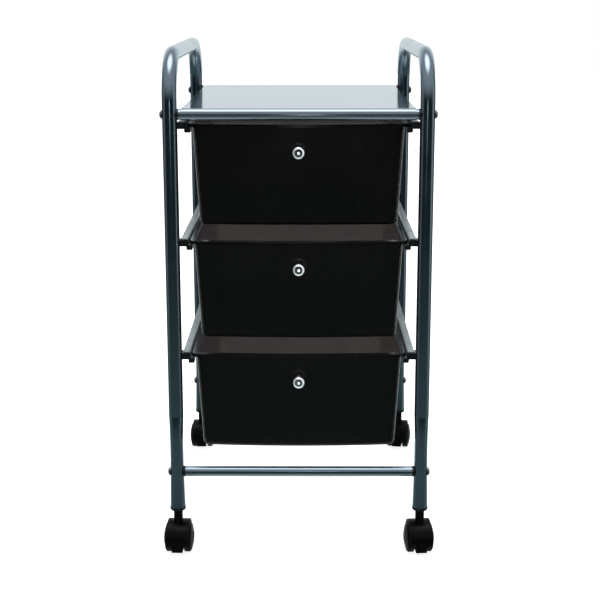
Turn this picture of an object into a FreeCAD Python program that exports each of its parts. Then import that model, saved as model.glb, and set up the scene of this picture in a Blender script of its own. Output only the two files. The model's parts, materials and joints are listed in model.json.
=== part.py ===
import FreeCAD, Part
import Sketcher
import math
import os

# Rolling storage cart: a frame of bent steel tube on four twin-wheel casters, a sheet steel top and three
# moulded drawers that slide on folded steel runners.
# Millimetres. X runs to the right, Y to the back and Z up. The origin is on the floor, below the middle.

document = FreeCAD.newDocument("RollingCart")
sheet = document.addObject("Spreadsheet::Sheet", "Sizes")

sizes = [
    # Side frames
    ("legSpacing", 312, "between the left and right leg axes"),
    ("legDepth", 372, "between the front and rear leg axes"),
    ("frameForward", 2, "middle of the frame ahead of the origin, which the trailing wheels move back"),
    ("tubeDiameter", 18.5, "leg and handle tube"),
    ("tubeWall", 1.2, "leg and handle tube wall"),
    ("handleBend", 55, "bend radius on the tube axis"),
    ("handleStraight", 15.4, "from the top bars up to the start of the bends"),
    ("pinchWidth", 17.3, "leg width across the lower bolt"),
    ("pinchDepth", 19.5, "leg depth at the lower bolt"),
    ("pinchReach", 76, "length over which a leg narrows above the bolt"),
    ("pinchFoot", 30, "length over which it widens again below the bolt"),
    ("flareDiameter", 19.4, "tube end, opened by its socket"),
    # Cross bars and their fasteners
    ("barRise", 48, "from the tube ends up to the lower cross bars"),
    ("barDiameter", 12.7, "cross bar tube"),
    ("barWall", 1, "cross bar tube wall"),
    ("washerRim", 0.45, "saddle washer outside the bar"),
    ("washerWeb", 1.5, "saddle washer between leg and bar"),
    ("washerEar", 4, "reach of the washer's ears round the leg"),
    ("boltDiameter", 5, "frame bolt"),
    ("boltGrip", 14, "frame bolt inside the bar"),
    ("boltHeadDiameter", 10.4, "frame bolt head"),
    ("boltHeadHeight", 3, "frame bolt head"),
    ("boltClearance", 0.15, "radial room round a bolt or screw"),
    ("driveSize", 3.2, "cross recess of a frame bolt, across"),
    ("driveDepth", 1.4, "cross recess of a frame bolt"),
    ("insertLength", 16, "threaded insert in a bar's end"),
    ("fitClearance", 0.05, "radial room round a part that is pressed in"),
    # Top tray
    ("trayGap", 1, "from the top runners up to the rolled edges"),
    ("trayLegGap", 4.75, "between the tray and each side frame"),
    ("sheetThickness", 0.8, "tray sheet"),
    ("rollClearance", 0.1, "between a bar and the sheet rolled round it"),
    ("rollEnd", 65, "how far the roll goes past its lowest point, degrees"),
    ("hemDepth", 9, "tray's folded side edges"),
    ("hemInset", 4, "from the rolls to the ends of the side edges"),
    # Runners
    ("runnerPitch", 145, "from one pair of runners to the next"),
    ("runnerThickness", 1.2, "runner steel"),
    ("runnerStandoff", 10.75, "from the legs' inner side to the runner webs"),
    ("runnerLegGap", 1.45, "from the legs' inner side to the runners' upper flanges"),
    ("runnerBend", 1.8, "outer bend radius of a runner"),
    ("ledgeWidth", 4.8, "runner lower flange, that the drawer rim slides on"),
    ("runnerReach", 1, "runner ends past the leg axes"),
    ("clipPlate", 3, "clip wall across a runner's end"),
    ("clipBack", 12, "clip from the leg axis inwards along the runner"),
    ("clipDrop", 4.4, "clip below the runner"),
    ("clipSink", 1, "clip wall below the runner's upper face"),
    ("clipToe", 1.2, "clip below the runner, outside the web"),
    ("clipRound", 1.5, "clip's rounded lower corner"),
    ("studDiameter", 4.8, "stud that plugs into the leg"),
    ("studLength", 4, "stud inside the leg"),
    ("studDrop", 5, "from the runner's upper face to the stud axis"),
    # Drawers
    ("rimClearance", 1, "between the drawer rim and each runner web"),
    ("rimInset", 3, "from the runner's upper face down to the rim"),
    ("rimHeight", 4.5, "drawer rim, from its upper face to the edge of its lip"),
    ("rimThickness", 2, "drawer rim"),
    ("rimRound", 0.7, "rounding of the rim's upper edges"),
    ("slideGap", 0.3, "between the rim's lip and the ledge"),
    ("stopGap", 0.4, "between a closed drawer and the rear stops"),
    ("rimFront", 8, "front of the rim ahead of the leg axes"),
    ("rimBow", 10, "rise of the rim's curved front edge"),
    ("rimCorner", 9, "rim corner radius"),
    ("tubSideGap", 1, "between the tub and each runner ledge"),
    ("tubFrontInset", 8.5, "from the rim's front edge to the tub"),
    ("tubBackInset", 5, "from the rim's back edge to the tub"),
    ("tubBow", 6, "rise of the tub's curved front"),
    ("drawerGap", 18, "from a drawer's underside to the level of the next rim"),
    ("bottomGap", 23.15, "between the bottom drawer and the lower cross bars"),
    ("tubLean", 7.2, "how far each tub wall leans in over the drawer's height"),
    ("tubWall", 2, "tub walls"),
    ("tubFloor", 2.2, "tub floor"),
    ("tubCorner", 10, "tub upright corner radius"),
    ("tubBase", 6, "tub bottom edge radius"),
    ("knobDrop", 33.7, "from the rim to the knob's axis"),
    ("knobDiameter", 16, "knob"),
    ("knobRim", 4, "rounding of the knob's rim"),
    ("knobReach", 11.6, "from the drawer front to the widest part of the knob"),
    ("knobNeck", 6, "knob neck"),
    ("knobBase", 9, "knob base"),
    ("screwDiameter", 4, "knob screw"),
    ("screwReach", 8, "knob screw inside the knob"),
    ("screwHeadDiameter", 8, "knob screw head"),
    ("screwHeadHeight", 2.4, "knob screw head"),
    # Casters
    ("wheelDiameter", 38, "caster wheel"),
    ("treadGap", 1, "between the hood's core and a wheel's tread"),
    ("treadWidth", 7.5, "wheel tread"),
    ("domeRise", 3.8, "wheel's outer face beyond the tread"),
    ("domeWall", 2.4, "wheel's outer face over the end of its bore"),
    ("hubRecess", 1.4, "dish in a wheel's inner face"),
    ("axleDiameter", 5, "caster axle"),
    ("axleEndGap", 0.4, "between the axle's ends and the wheels"),
    ("runningClearance", 0.06, "radial running room of wheels and stems"),
    ("hubGap", 0.4, "between a wheel's hub and the hood's core"),
    ("trail", 4, "axle behind the swivel axis"),
    ("hoodClearance", 1.8, "between the wheel treads and the hood"),
    ("hoodShell", 2.7, "hood over the wheels"),
    ("hoodRound", 1, "rounding of the hood's outer edges"),
    ("hoodWidth", 28.5, "hood across both wheels"),
    ("hoodCore", 14, "hood between the wheels"),
    ("hoodRear", 25, "lower end of the hood's rear edge above the axle, degrees"),
    ("skirtHeight", 7, "hood's lower edge above the floor"),
    ("hoodHeel", 12.9, "hood's core behind the axle"),
    ("heelRound", 14.2, "radius of the core's lower rear edge"),
    ("neckDiameter", 11.5, "hood neck"),
    ("neckHeight", 15, "hood neck above the hood"),
    ("neckRound", 1.6, "rounding of the neck's upper edge"),
    ("stemGap", 2.5, "bare stem between the neck and the socket"),
    ("stemDiameter", 8, "caster stem"),
    ("stemSeat", 22, "stem inside the hood"),
    ("stemHeadroom", 1, "above the stem inside the socket"),
    ("socketFlange", 1.5, "socket rim under the tube's end"),
    ("socketCone", 1.5, "tapered underside of the socket"),
    ("socketDiameter", 20.2, "socket rim"),
    ("socketPlug", 15.4, "socket inside the tube"),
    ("socketDepth", 22, "socket inside the tube, upwards"),
    ("socketCap", 3, "closed top of the socket"),
    ("frontLeftYaw", 2, "front left caster turned outwards, degrees"),
    ("frontRightYaw", 5, "front right caster turned outwards, degrees"),
    ("rearRightYaw", 10, "rear right caster turned inwards, degrees"),
]

sheet.set("A1", "Size")
sheet.set("B1", "Value")
sheet.set("C1", "Meaning")
for row, (alias, value, meaning) in enumerate(sizes, start=2):
    sheet.set("A%d" % row, alias)
    sheet.set("B%d" % row, str(value))
    sheet.setAlias("B%d" % row, alias)
    sheet.set("C%d" % row, meaning)
document.recompute()

parts = []
acrossAxis = FreeCAD.Vector(1, 0, 0)
depthAxis = FreeCAD.Vector(0, 1, 0)
upAxis = FreeCAD.Vector(0, 0, 1)

# Places that several pieces share, as expressions on the sheet, from the floor up
legX = "(Sizes.legSpacing / 2)"
frontLegY = "(-Sizes.legDepth / 2 - Sizes.frameForward)"
rearLegY = "(Sizes.legDepth / 2 - Sizes.frameForward)"
tubeRadius = "(Sizes.tubeDiameter / 2)"
barRadius = "(Sizes.barDiameter / 2)"

axleHeight = "(Sizes.wheelDiameter / 2)"
hoodRadius = "(%s + Sizes.hoodClearance + Sizes.hoodShell)" % axleHeight
neckTop = "(%s + %s + Sizes.neckHeight)" % (axleHeight, hoodRadius)
socketBottom = "(%s + Sizes.stemGap)" % neckTop
tubeEnd = "(%s + Sizes.socketCone + Sizes.socketFlange)" % socketBottom
lowerBarHeight = "(%s + Sizes.barRise)" % tubeEnd

drawerHeight = "(Sizes.runnerPitch - Sizes.drawerGap)"
lowestRunner = "(%s + %s + Sizes.bottomGap + %s + Sizes.rimInset)" % (lowerBarHeight, barRadius, drawerHeight)
levels = [("bottom", 0), ("middle", 1), ("top", 2)]
runnerHeights = ["(%s + %d * Sizes.runnerPitch)" % (lowestRunner, level) for name, level in levels]

rollInner = "(%s + Sizes.rollClearance)" % barRadius
rollOuter = "(%s + Sizes.sheetThickness)" % rollInner
topBarHeight = "(%s + Sizes.trayGap + %s)" % (runnerHeights[-1], rollOuter)
trayTop = "(%s + %s)" % (topBarHeight, rollOuter)
handleAxis = "(%s + Sizes.handleStraight + Sizes.handleBend)" % topBarHeight

legInside = "(%s - %s)" % (legX, tubeRadius)
barEnd = "(%s - Sizes.washerWeb)" % legInside
webX = "(%s - Sizes.runnerStandoff)" % legInside
webOutside = "(%s + Sizes.runnerThickness)" % webX
ledgeX = "(%s - Sizes.ledgeWidth)" % webX
runnerDrop = "(Sizes.rimInset + Sizes.rimHeight + Sizes.slideGap + Sizes.runnerThickness)"
sides = [("left", -1), ("right", 1)]


def number(expression):
    return float(sheet.evalExpression(str(expression)))


def planeOf(body, role):
    return [feature for feature in body.Origin.OriginFeatures if feature.Role == role][0]


def newBody(label, x="0", y="0", z="0", turn=None, axis=upAxis):
    body = document.addObject("PartDesign::Body", label)
    body.Label = label
    for name, place in (("x", x), ("y", y), ("z", z)):
        body.setExpression(".Placement.Base." + name, place)
    if turn is not None:
        body.Placement.Rotation = FreeCAD.Rotation(axis, number(turn))
        body.setExpression(".Placement.Rotation.Angle", turn)
    return body


def newSketch(body, role, offset="0", turn=0):
    sketch = body.newObject("Sketcher::SketchObject", body.Name + "_sketch")
    sketch.AttachmentSupport = [(planeOf(body, role), "")]
    sketch.MapMode = "FlatFace"
    sketch.AttachmentOffset = FreeCAD.Placement(FreeCAD.Vector(), FreeCAD.Rotation(upAxis, turn))
    sketch.setExpression("AttachmentOffset.Base.z", offset)
    return sketch


def bind(sketch, constraint, expression):
    index = sketch.addConstraint(constraint)
    sketch.setExpression("Constraints[%d]" % index, expression)


def pin(sketch, edge, point, x, y):
    bind(sketch, Sketcher.Constraint("DistanceX", -1, 1, edge, point, number(x)), x)
    bind(sketch, Sketcher.Constraint("DistanceY", -1, 1, edge, point, number(y)), y)


def arcBetween(start, end, radius):
    # The shorter arc between two points; a positive radius turns to the left, a negative one to the right
    chord = end - start
    depth = math.sqrt(max(radius ** 2 - (chord.Length / 2) ** 2, 0))
    across = FreeCAD.Vector(-chord.y, chord.x, 0).normalize() * math.copysign(1, radius)
    middle = (start + end) / 2 - across * (abs(radius) - depth)
    return Part.Arc(start, middle, end) if radius > 0 else Part.Arc(end, middle, start)


def draw(sketch, corners, closed=True):
    # A chain of edges through the corners. A corner is (x, y), or (x, y, radius) where an arc leaves it.
    spots = [FreeCAD.Vector(number(corner[0]), number(corner[1]), 0) for corner in corners]
    count = len(corners) if closed else len(corners) - 1
    chain = []
    for index in range(count):
        start, end = spots[index], spots[(index + 1) % len(spots)]
        bends = len(corners[index]) == 3
        radius = number(corners[index][2]) if bends else 1
        shape = arcBetween(start, end, radius) if bends else Part.LineSegment(start, end)
        edge = sketch.addGeometry(shape, False)
        chain.append((edge, 1, 2) if radius > 0 else (edge, 2, 1))
        if bends:
            size = corners[index][2] if radius > 0 else "-(%s)" % corners[index][2]
            bind(sketch, Sketcher.Constraint("Radius", edge, abs(radius)), size)
    for index, (edge, first, last) in enumerate(chain):
        pin(sketch, edge, first, corners[index][0], corners[index][1])
        if closed or index + 1 < count:
            nextEdge, nextFirst = chain[(index + 1) % count][:2]
            sketch.addConstraint(Sketcher.Constraint("Coincident", edge, last, nextEdge, nextFirst))
        else:
            pin(sketch, edge, last, corners[-1][0], corners[-1][1])
    return sketch


def drawCircle(sketch, x, y, radius):
    centre = FreeCAD.Vector(number(x), number(y), 0)
    edge = sketch.addGeometry(Part.Circle(centre, upAxis, number(radius)), False)
    pin(sketch, edge, 3, x, y)
    bind(sketch, Sketcher.Constraint("Radius", edge, number(radius)), radius)
    return sketch


def drawEllipse(sketch, x, y, length, width):
    # An ellipse whose longer diameter lies along the sketch's own x axis
    centre = FreeCAD.Vector(number(x), number(y), 0)
    edge = sketch.addGeometry(Part.Ellipse(centre, number(length) / 2, number(width) / 2), False)
    sketch.exposeInternalGeometry(edge)
    pin(sketch, edge, 3, x, y)
    longer, shorter = edge + 1, edge + 2
    sketch.addConstraint(Sketcher.Constraint("Horizontal", longer))
    bind(sketch, Sketcher.Constraint("Distance", longer, number(length)), length)
    bind(sketch, Sketcher.Constraint("Distance", shorter, number(width)), width)
    return sketch


def addPad(body, sketch, length, side="One side", away=False, kind="Pad"):
    feature = body.newObject("PartDesign::" + kind, body.Name + "_" + kind)
    feature.Profile = sketch
    feature.SideType = side
    feature.Reversed = away
    feature.setExpression("Length", length)
    return feature


def addPocket(body, sketch, length, side="One side", away=False):
    return addPad(body, sketch, length, side, away, "Pocket")


def addTurned(body, sketch, axis="V_Axis"):
    feature = body.newObject("PartDesign::Revolution", body.Name + "_Revolution")
    feature.Profile = sketch
    feature.ReferenceAxis = (sketch, [axis])
    feature.Angle = 360
    return feature


def addLoft(body, sketches, kind="AdditiveLoft", ruled=False):
    feature = body.newObject("PartDesign::" + kind, body.Name + "_" + kind)
    feature.Profile = sketches[0]
    feature.Sections = sketches[1:]
    feature.Ruled = ruled
    return feature


def addPipe(body, section, path, kind="AdditivePipe"):
    feature = body.newObject("PartDesign::" + kind, body.Name + "_" + kind)
    feature.Profile = section
    feature.Spine = path
    return feature


def addMirror(body, role, originals):
    feature = body.newObject("PartDesign::Mirrored", body.Name + "_Mirrored")
    feature.Originals = originals
    feature.MirrorPlane = (planeOf(body, role), [""])
    body.Tip = feature
    return feature


def roundEdges(body, radius, chosen):
    # Rounds those edges of the body so far for which chosen(edge) is true
    document.recompute()
    base = body.Tip
    names = ["Edge%d" % place for place, edge in enumerate(base.Shape.Edges, start=1) if chosen(edge)]
    feature = body.newObject("PartDesign::Fillet", body.Name + "_Fillet")
    feature.Base = (base, names)
    feature.setExpression("Radius", radius)
    return feature


def near(value, target):
    return abs(value - target) < 0.01


def upright(edge):
    # An edge that runs from one height to another, such as the corner between two walls
    box = edge.BoundBox
    return box.ZLength > 2 * max(box.XLength, box.YLength)


def handed(corners, side):
    # The same outline on the left (-1) or the right (1); a mirrored arc turns the other way
    scaled = []
    for corner in corners:
        bends = tuple("%d * (%s)" % (side, radius) for radius in corner[2:])
        scaled.append(("%d * (%s)" % (side, corner[0]), corner[1]) + bends)
    return scaled


# Side frames: on each side one bent tube makes both legs and the handle

legTaperTop = "(%s + Sizes.pinchReach)" % lowerBarHeight


def legSections(body, y, wall):
    # Sections of a leg's lower end: round, narrowed across the lower bolt, round, opened over its socket
    rounds = [
        (legTaperTop, "Sizes.tubeDiameter", None),
        (lowerBarHeight, "Sizes.pinchDepth", "Sizes.pinchWidth"),
        ("%s - Sizes.pinchFoot" % lowerBarHeight, "Sizes.tubeDiameter", None),
        (tubeEnd, "Sizes.flareDiameter", None),
    ]
    sections = []
    for height, depth, width in rounds:
        sketch = newSketch(body, "XY_Plane", height, turn=90)
        if width is None:
            drawCircle(sketch, y, "0", "%s / 2 - %s" % (depth, wall))
        else:
            drawEllipse(sketch, y, "0", "%s - 2 * %s" % (depth, wall), "%s - 2 * %s" % (width, wall))
        sections.append(sketch)
    return sections


def handlePath(body):
    bendStart = "%s - Sizes.handleBend" % handleAxis
    corners = [
        (frontLegY, legTaperTop),
        (frontLegY, bendStart, "-Sizes.handleBend"),
        ("%s + Sizes.handleBend" % frontLegY, handleAxis),
        ("%s - Sizes.handleBend" % rearLegY, handleAxis, "-Sizes.handleBend"),
        (rearLegY, bendStart),
        (rearLegY, legTaperTop),
    ]
    return draw(newSketch(body, "YZ_Plane"), corners, closed=False)


def makeSideFrame(label, side):
    body = newBody(label, x="%d * %s" % (side, legX))
    for wall, kind in (("0", "Additive"), ("Sizes.tubeWall", "Subtractive")):
        ring = newSketch(body, "XY_Plane", legTaperTop, turn=90)
        drawCircle(ring, frontLegY, "0", "%s - %s" % (tubeRadius, wall))
        addPipe(body, ring, handlePath(body), kind + "Pipe")
        for y in (frontLegY, rearLegY):
            addLoft(body, legSections(body, y, wall), kind + "Loft")
    bolts = newSketch(body, "YZ_Plane")
    studs = newSketch(body, "YZ_Plane")
    for y in (frontLegY, rearLegY):
        for height in (topBarHeight, lowerBarHeight):
            drawCircle(bolts, y, height, "Sizes.boltDiameter / 2 + Sizes.boltClearance")
        for height in runnerHeights:
            drawCircle(studs, y, "%s - Sizes.studDrop" % height, "Sizes.studDiameter / 2 + Sizes.fitClearance")
    addPocket(body, bolts, "2 * Sizes.pinchDepth", "Symmetric")
    addPocket(body, studs, "Sizes.tubeDiameter", away=side < 0)
    parts.append(body)


for sideName, side in sides:
    makeSideFrame(sideName + "_side_frame", side)


# Cross bars: round tube between the side frames, under the tray's edges and near the casters.
# Each is (name, y, z, half the leg's width there).

bars = [
    ("front_top_bar", frontLegY, topBarHeight, tubeRadius),
    ("rear_top_bar", rearLegY, topBarHeight, tubeRadius),
    ("front_lower_bar", frontLegY, lowerBarHeight, "Sizes.pinchWidth / 2"),
    ("rear_lower_bar", rearLegY, lowerBarHeight, "Sizes.pinchWidth / 2"),
]
for bar in bars:
    name, y, z = bar[:3]
    body = newBody(name, y=y, z=z)
    ring = newSketch(body, "YZ_Plane")
    drawCircle(ring, "0", "0", barRadius)
    drawCircle(ring, "0", "0", "%s - Sizes.barWall" % barRadius)
    addPad(body, ring, "2 * " + barEnd, "Symmetric")
    parts.append(body)


# The fasteners at the eight bar ends are alike: of each kind there is one master and eight placed copies.
# A master's Z axis points outwards, along the bar.


def boltMaster():
    body = newBody("frame_bolt_master")
    shank = "Sizes.boltDiameter / 2"
    head = "Sizes.boltHeadDiameter / 2"
    crown = "Sizes.boltHeadHeight"
    tip = "-(Sizes.tubeDiameter + Sizes.washerWeb + Sizes.boltGrip)"
    profile = [
        ("0", tip),
        ("0.8 * " + shank, tip),
        (shank, "%s + 0.2 * %s" % (tip, shank)),
        (shank, "0"),
        (head, "0"),
        (head, "0.3 * " + crown, "0.75 * " + head),
        ("0.45 * " + head, crown),
        ("0", crown),
    ]
    addTurned(body, draw(newSketch(body, "XZ_Plane"), profile))
    half = "Sizes.driveSize / 2"
    slot = "Sizes.driveSize / 7"
    for wide, high in ((half, slot), (slot, half)):
        drive = newSketch(body, "XY_Plane", crown)
        left, low = "-" + wide, "-" + high
        draw(drive, [(left, low), (wide, low), (wide, high), (left, high)])
        addPocket(body, drive, "Sizes.driveDepth")
    return body


def insertMaster():
    body = newBody("bar_insert_master")
    ring = newSketch(body, "XY_Plane")
    drawCircle(ring, "0", "0", "%s - Sizes.barWall - Sizes.fitClearance" % barRadius)
    drawCircle(ring, "0", "0", "Sizes.boltDiameter / 2 + Sizes.fitClearance")
    addPad(body, ring, "Sizes.insertLength", away=True)
    return body


def washerMaster():
    # A short rod whose outer end is hollowed to sit on the leg
    body = newBody("saddle_washer_master")
    ring = newSketch(body, "XY_Plane")
    drawCircle(ring, "0", "0", "%s + Sizes.washerRim" % barRadius)
    drawCircle(ring, "0", "0", "Sizes.boltDiameter / 2 + Sizes.boltClearance")
    addPad(body, ring, "Sizes.washerWeb + Sizes.washerEar")
    saddle = newSketch(body, "YZ_Plane")
    drawCircle(saddle, "0", "Sizes.washerWeb + " + tubeRadius, tubeRadius)
    addPocket(body, saddle, "2 * Sizes.tubeDiameter", "Symmetric")
    return body


def placeAtBarEnds(label, master, seats):
    # seats holds, for each bar, how far from the cart's middle the copies' origins lie
    copies = []
    for bar, seat in zip(bars, seats):
        name, y, z = bar[:3]
        for sideName, side in sides:
            copy = document.addObject("App::Link", "%s_%s_%s" % (label, sideName, name))
            copy.LinkedObject = master
            copy.Placement = FreeCAD.Placement(FreeCAD.Vector(), FreeCAD.Rotation(depthAxis, 90 * side))
            for axis, place in (("x", "%d * (%s)" % (side, seat)), ("y", y), ("z", z)):
                copy.setExpression(".Placement.Base." + axis, place)
            copies.append(copy)
    group = document.addObject("Part::Compound", label)
    group.Label = label
    group.Links = copies
    parts.append(group)


placeAtBarEnds("frame_bolts", boltMaster(), ["%s + %s" % (legX, bar[3]) for bar in bars])
placeAtBarEnds("bar_inserts", insertMaster(), [barEnd] * len(bars))
placeAtBarEnds("saddle_washers", washerMaster(), [barEnd] * len(bars))


# Top tray: one sheet, rolled round both top bars and folded down at the sides


def rollPoint(y, radius, towards):
    # The end of a roll, past its lowest point and back towards the middle of the tray
    return (
        "%s %s %s * sin(Sizes.rollEnd)" % (y, towards, radius),
        "%s - %s * cos(Sizes.rollEnd)" % (topBarHeight, radius),
    )


def makeTray(label):
    body = newBody(label)
    below, under = "%s - %s" % (topBarHeight, rollOuter), "%s - %s" % (topBarHeight, rollInner)
    deckUnderside = "%s + %s" % (topBarHeight, rollInner)
    section = [
        (rearLegY, trayTop),
        (frontLegY, trayTop, rollOuter),
        ("%s - %s" % (frontLegY, rollOuter), topBarHeight, rollOuter),
        (frontLegY, below, rollOuter),
        rollPoint(frontLegY, rollOuter, "+"),
        rollPoint(frontLegY, rollInner, "+") + ("-" + rollInner,),
        (frontLegY, under, "-" + rollInner),
        ("%s - %s" % (frontLegY, rollInner), topBarHeight, "-" + rollInner),
        (frontLegY, deckUnderside),
        (rearLegY, deckUnderside, "-" + rollInner),
        ("%s + %s" % (rearLegY, rollInner), topBarHeight, "-" + rollInner),
        (rearLegY, under, "-" + rollInner),
        rollPoint(rearLegY, rollInner, "-"),
        rollPoint(rearLegY, rollOuter, "-") + (rollOuter,),
        (rearLegY, below, rollOuter),
        ("%s + %s" % (rearLegY, rollOuter), topBarHeight, rollOuter),
    ]
    edge = "(%s - Sizes.trayLegGap)" % legInside
    addPad(body, draw(newSketch(body, "YZ_Plane"), section), "2 * " + edge, "Symmetric")
    fold = "%s - Sizes.sheetThickness" % edge
    low, deck = "%s - Sizes.hemDepth" % trayTop, "%s - Sizes.sheetThickness / 2" % trayTop
    for sideName, side in sides:
        hem = newSketch(body, "XZ_Plane", "Sizes.frameForward")
        draw(hem, handed([(fold, low), (edge, low), (edge, deck), (fold, deck)], side))
        addPad(body, hem, "Sizes.legDepth - 2 * (%s + Sizes.hemInset)" % rollOuter, "Symmetric")
    parts.append(body)


makeTray("top_tray")


# Runners: folded steel strips from front leg to rear leg, one pair for each drawer


def makeRunner(label, height, side):
    body = newBody(label, y="-Sizes.frameForward", z=height)
    thick = "Sizes.runnerThickness"
    flangeX = "%s - Sizes.runnerLegGap" % legInside
    section = [
        (webX, "0"),
        (webX, "%s - %s" % (thick, runnerDrop)),
        (ledgeX, "%s - %s" % (thick, runnerDrop)),
        (ledgeX, "-" + runnerDrop),
        (webOutside, "-" + runnerDrop),
        (webOutside, "-" + thick),
        (flangeX, "-" + thick),
        (flangeX, "0"),
    ]
    sketch = draw(newSketch(body, "XZ_Plane"), handed(section, side))
    addPad(body, sketch, "Sizes.legDepth + 2 * Sizes.runnerReach", "Symmetric")
    outside, inside = number(webOutside), number(webX)
    wall, drop = number(thick), number(runnerDrop)
    folds = [
        ("Sizes.runnerBend", [(inside, 0), (outside, -drop)]),
        ("Sizes.runnerBend - Sizes.runnerThickness", [(outside, -wall), (inside, wall - drop)]),
    ]
    for radius, spots in folds:
        roundEdges(body, radius, lambda edge: alongAt(edge, spots))
    parts.append(body)


def alongAt(edge, spots):
    # An edge that runs from front to back through one of the given (distance from the middle, height) spots
    middle = edge.CenterOfMass
    return edge.BoundBox.YLength > 1 and any(near(abs(middle.x), x) and near(middle.z, z) for x, z in spots)


for (levelName, level), height in zip(levels, runnerHeights):
    for sideName, side in sides:
        makeRunner("%s_%s_runner" % (levelName, sideName), height, side)


# Runner clips: moulded ends that hold a runner between its legs, with a stud that plugs into each leg.
# The rear ones also close the channel, as the drawer's stop.


def makeClips(label, height, side):
    body = newBody(label, y="-Sizes.frameForward", z=height)
    body.AllowCompound = True
    thick = "Sizes.runnerThickness"
    fit = "Sizes.fitClearance"
    runnerEnd = "(Sizes.legDepth / 2 + Sizes.runnerReach)"
    saddleX = "%s + 0.2 * %s" % (legInside, tubeRadius)
    heelX = "%s + Sizes.clipToe" % webOutside
    foot = "-(%s + Sizes.clipDrop)" % runnerDrop
    ledgeTop = "%s - %s" % (thick, runnerDrop)
    toe = [
        (ledgeX, foot),
        ("%s - Sizes.clipRound" % heelX, foot, "Sizes.clipRound"),
        (heelX, "%s + Sizes.clipRound" % foot),
        (heelX, "-" + runnerDrop),
        (saddleX, "-" + runnerDrop),
    ]
    acrossEnd = [(saddleX, "-Sizes.clipSink"), (webX, "-Sizes.clipSink"), (webX, ledgeTop), (ledgeX, ledgeTop)]
    besideRunner = [
        (saddleX, "-(%s + %s)" % (thick, fit)),
        ("%s + %s" % (webOutside, fit), "-(%s + %s)" % (thick, fit)),
        ("%s + %s" % (webOutside, fit), "-(%s + %s)" % (runnerDrop, fit)),
        (ledgeX, "-(%s + %s)" % (runnerDrop, fit)),
    ]
    plate = draw(newSketch(body, "XZ_Plane", runnerEnd), handed(toe + acrossEnd, side))
    wall = addPad(body, plate, "Sizes.clipPlate")
    inner = draw(newSketch(body, "XZ_Plane", runnerEnd), handed(toe + besideRunner, side))
    block = addPad(body, inner, "Sizes.runnerReach + Sizes.clipBack", away=True)
    leg = newSketch(body, "XY_Plane")
    drawCircle(leg, "%d * %s" % (side, legX), "-Sizes.legDepth / 2", tubeRadius)
    saddle = addPocket(body, leg, "4 * %s" % runnerDrop, "Symmetric")
    root = newSketch(body, "YZ_Plane", "%d * (%s - Sizes.runnerThickness)" % (side, legInside))
    drawCircle(root, "-Sizes.legDepth / 2", "-Sizes.studDrop", "Sizes.studDiameter / 2")
    stud = addPad(body, root, "Sizes.studLength + Sizes.runnerThickness", away=side < 0)
    addMirror(body, "XZ_Plane", [wall, block, saddle, stud])
    stop = newSketch(body, "XZ_Plane", "Sizes.clipBack - Sizes.legDepth / 2")
    low, high = "%s + %s" % (ledgeTop, fit), "-Sizes.clipSink"
    far = "%s - %s" % (webX, fit)
    draw(stop, handed([(ledgeX, low), (far, low), (far, high), (ledgeX, high)], side))
    addPad(body, stop, "Sizes.clipBack + Sizes.runnerReach + Sizes.clipPlate", away=True)
    closure = newSketch(body, "XZ_Plane", "-" + runnerEnd)
    low, far = "-" + runnerDrop, webOutside
    draw(closure, handed([(ledgeX, low), (far, low), (far, high), (ledgeX, high)], side))
    addPad(body, closure, "Sizes.clipPlate", away=True)
    parts.append(body)


for (levelName, level), height in zip(levels, runnerHeights):
    for sideName, side in sides:
        makeClips("%s_%s_runner_clips" % (levelName, sideName), height, side)


# Drawers: a moulded tub with a wide rim that slides on the runner ledges, a round knob and its screw

rimHalf = "(%s - Sizes.rimClearance)" % webX
rimFrontY = "(%s - Sizes.rimFront)" % frontLegY
rimBackY = "(%s - Sizes.clipBack - Sizes.stopGap)" % rearLegY
tubHalf = "(%s - Sizes.tubSideGap)" % ledgeX
tubFrontY = "(%s + Sizes.tubFrontInset)" % rimFrontY
tubBackY = "(%s - Sizes.tubBackInset)" % rimBackY
tubSlope = "(Sizes.tubLean / %s)" % drawerHeight
tubTilt = "atan(%s)" % tubSlope


def bowedOutline(half, front, bow, back):
    # A rectangle whose front edge is an arc; the bow is how far the arc stands out at its middle
    radius = "((%s) * (%s) + %s * %s) / (2 * %s)" % (half, half, bow, bow, bow)
    shoulder = "%s + %s" % (front, bow)
    return [("-(%s)" % half, shoulder, radius), (half, shoulder), (half, back), ("-(%s)" % half, back)]


def tubOutline(body, depth, wall):
    # The tub's outline at a depth below the rim's upper face, drawn in by a wall
    leanIn = "(%s) * %s + %s" % (depth, tubSlope, wall)
    sketch = newSketch(body, "XY_Plane", "-(%s)" % depth)
    front, back = "%s + %s" % (tubFrontY, leanIn), "%s - (%s)" % (tubBackY, leanIn)
    return draw(sketch, bowedOutline("%s - (%s)" % (tubHalf, leanIn), front, "Sizes.tubBow", back))


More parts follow.
